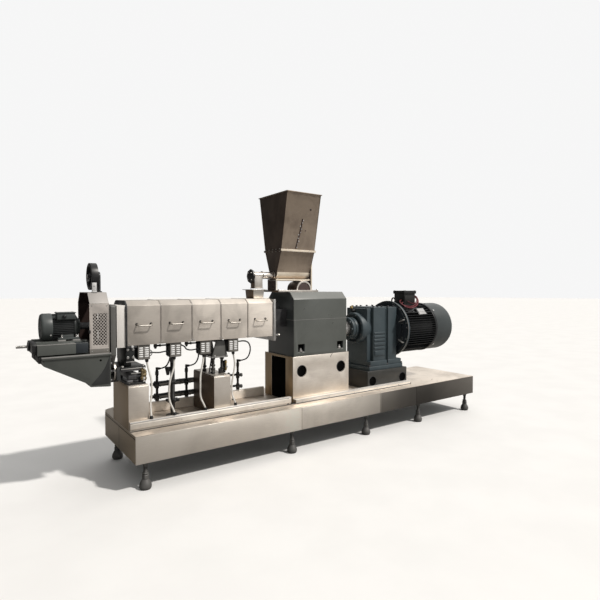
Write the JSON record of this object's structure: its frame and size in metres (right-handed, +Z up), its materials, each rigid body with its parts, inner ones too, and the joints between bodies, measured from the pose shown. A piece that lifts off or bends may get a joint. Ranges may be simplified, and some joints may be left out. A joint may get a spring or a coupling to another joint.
{
  "type": "twin-screw food extruder",
  "caption": "Twin-screw food extruder on a stainless base: hopper feeder, covered heated barrel, gearbox, reducer, motor and die-face cutter.",
  "frame": {"origin": "on the floor under the middle of the machine's overall length and width", "axes": "+X along the machine from the cutter to the main motor, +Y across it away from the operator, +Z up"},
  "size_m": [3.846, 0.71, 1.918],
  "materials": {
    "stainless": "satin, grained, slightly stained",
    "stainless_bright": "satin, bright",
    "stained_stainless": "matt, brown stained",
    "bare_steel": "turned and ground",
    "grey_paint": "semi-gloss",
    "light_grey_paint": "semi-gloss",
    "dark_paint": "semi-gloss",
    "black_paint": "gloss",
    "blue_grey_paint": "semi-gloss over casting",
    "green_grey_paint": "semi-gloss over casting",
    "black_iron": "painted black",
    "pale_panel": "matt",
    "white_conduit": "ribbed",
    "black_rubber": "matt",
    "black_plastic": "moulded",
    "red_cable": "satin",
    "brass_fitting": "dull",
    "plate_white": "matt"
  },
  "bodies": {
    "frame": {"levelling_feet": "black_iron", "base_core": "grey_paint", "base_side_panels": "stainless", "base_top_plate": "stainless_bright", "front_cable_duct": "stainless_bright", "rear_cable_duct": "stainless_bright", "pedestal_left": "stainless", "pedestal_middle": "stainless", "support_bracket_left": "dark_paint", "support_bracket_middle": "grey_paint", "support_jack": "black_iron", "barrel": "bare_steel", "barrel_flange": "bare_steel", "barrel_covers": "stainless", "cover_handles": "bare_steel", "cover_end_plate": "pale_panel", "terminal_boxes": "light_grey_paint", "cable_conduits": "white_conduit", "water_manifolds": "dark_paint", "water_risers": "black_iron", "water_hoses": "black_rubber", "gearbox_plinth": "stainless", "distribution_gearbox": "grey_paint", "drive_coupling": "bare_steel", "reducer": "blue_grey_paint", "reducer_plinth": "grey_paint", "motor_flange": "dark_paint", "main_motor": "black_paint", "motor_terminal_box": "black_paint", "motor_fan_cover": "black_paint", "hopper_upper": "stained_stainless", "hopper_lower": "stained_stainless", "feeder_tube": "stainless_bright", "feeder_stand": "stainless", "inlet_funnel": "stainless_bright", "cutter_arm": "grey_paint", "cutter_pivot": "dark_paint", "mounting_plate": "grey_paint", "cutter_guard": "stainless", "handwheel_bracket": "dark_paint"},
    "cutter_unit": {"cutter_carriage": "grey_paint", "lead_screw": "bare_steel", "cutter_motor": "green_grey_paint"},
    "spindle": {"cutter_spindle": "bare_steel"},
    "wheel": {"handwheel": "black_plastic"}
  },
  "joints": [
    {"name": "cutter_slide", "type": "slide", "parent": "frame", "child": "cutter_unit", "axis": [1, 0, 0], "range_m": [-0.07, 0]},
    {"name": "cutter_turn", "type": "hinge", "parent": "cutter_unit", "child": "spindle", "pos_m": [-1.557, -0.045, 0.972], "axis": [1, 0, 0], "continuous": true},
    {"name": "handwheel_turn", "type": "hinge", "parent": "frame", "child": "wheel", "pos_m": [-1.517, -0.045, 1.27], "axis": [1, 0, 0], "continuous": true}
  ]
}
